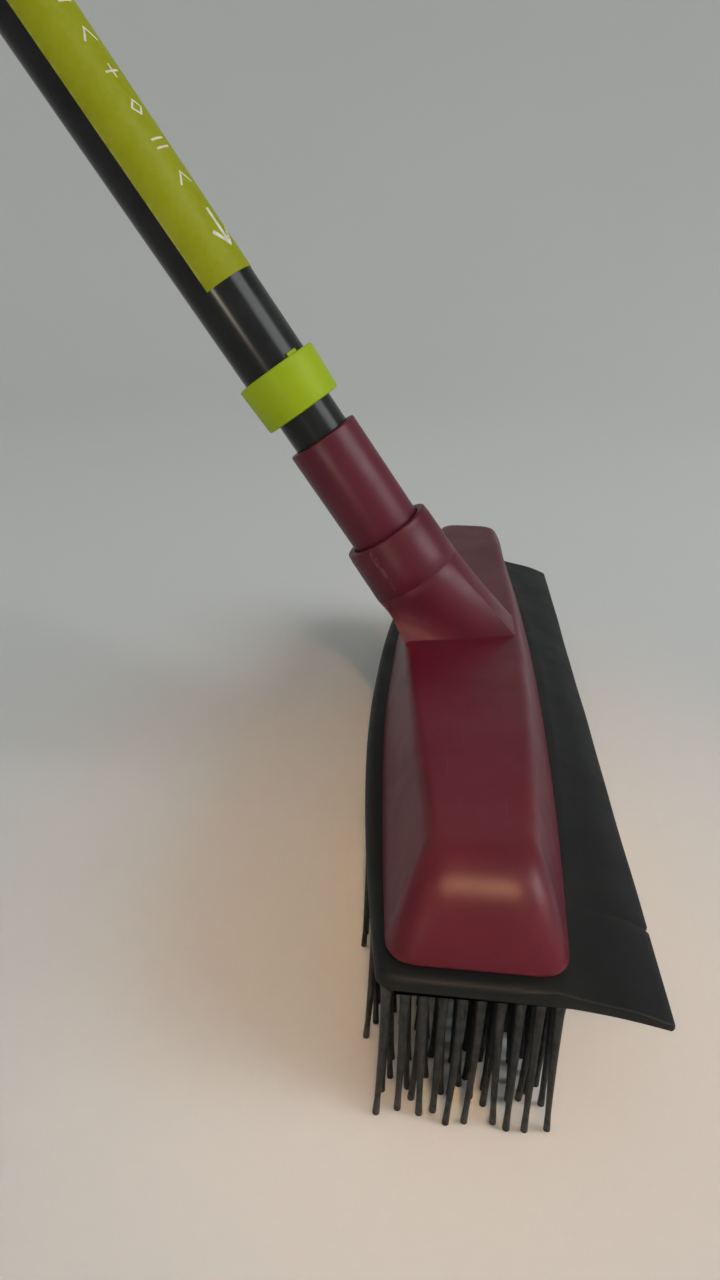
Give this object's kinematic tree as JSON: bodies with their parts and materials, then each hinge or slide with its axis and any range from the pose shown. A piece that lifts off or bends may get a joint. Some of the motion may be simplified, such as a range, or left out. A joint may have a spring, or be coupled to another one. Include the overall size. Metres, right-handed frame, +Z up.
{
  "type": "rubber broom",
  "caption": "Push broom with tapered rubber bristles and a squeegee edge under a moulded head, on a twist-lock telescopic tube handle with a hanging eye.",
  "frame": {"origin": "the flat tip of the bristle beside the middle of the head, on the plane that the bristle tips stand on", "axes": "+X along the head, +Y towards the squeegee edge, +Z up from the bristle tips; the handle leans 35.6 degrees from +Z towards -Y"},
  "size_m": [0.286, 0.5434, 0.7507],
  "materials": {
    "burgundy_plastic": "satin moulded polypropylene",
    "backing_plastic": "plain moulded polypropylene",
    "screw_steel": "zinc plated",
    "black_rubber": "matte moulded rubber",
    "bristle_rubber": "matte moulded rubber",
    "thread_plastic": "plain moulded nylon",
    "charcoal_tube": "satin powder coat on steel",
    "lock_plastic": "plain moulded acetal",
    "lime_plastic": "satin moulded polypropylene",
    "lime_label": "printed vinyl film",
    "cap_plastic": "satin moulded polypropylene"
  },
  "bodies": {
    "head": {"head_shell": "burgundy_plastic", "backing_plate": "backing_plastic", "plate_screws": "screw_steel", "rubber_pad": "black_rubber", "bristles": "bristle_rubber"},
    "ferrule": {"ferrule": "burgundy_plastic"},
    "lower_handle": {"threaded_tip": "thread_plastic", "lower_tube": "charcoal_tube", "lock_spindle": "lock_plastic"},
    "lock_ring": {"lock_cam": "lock_plastic"},
    "upper_handle": {"upper_tube": "charcoal_tube", "tube_collar": "lime_plastic", "grip_label": "lime_label", "hang_cap": "cap_plastic"}
  },
  "joints": [
    {"name": "socket_rise", "type": "slide", "parent": "head", "child": "ferrule", "axis": [0, -0.5821, 0.8131], "range_m": [0, 0.0203]},
    {"name": "handle_unscrew", "type": "hinge", "parent": "ferrule", "child": "lower_handle", "pos_m": [0, -0.02818, 0.08925], "axis": [0, -0.5821, 0.8131], "range_deg": [0, 1440]},
    {"name": "handle_twist", "type": "hinge", "parent": "lower_handle", "child": "lock_ring", "pos_m": [0.00035, -0.45528, 0.68582], "axis": [0, -0.5821, 0.8131], "range_deg": [0, 110]},
    {"name": "handle_extend", "type": "slide", "parent": "lock_ring", "child": "upper_handle", "axis": [0, -0.5821, 0.8131], "range_m": [0, 0.6]}
  ],
  "couplings": [
    {"joint": "handle_unscrew", "follows": "socket_rise", "rad_per_m": 1236.8}
  ]
}
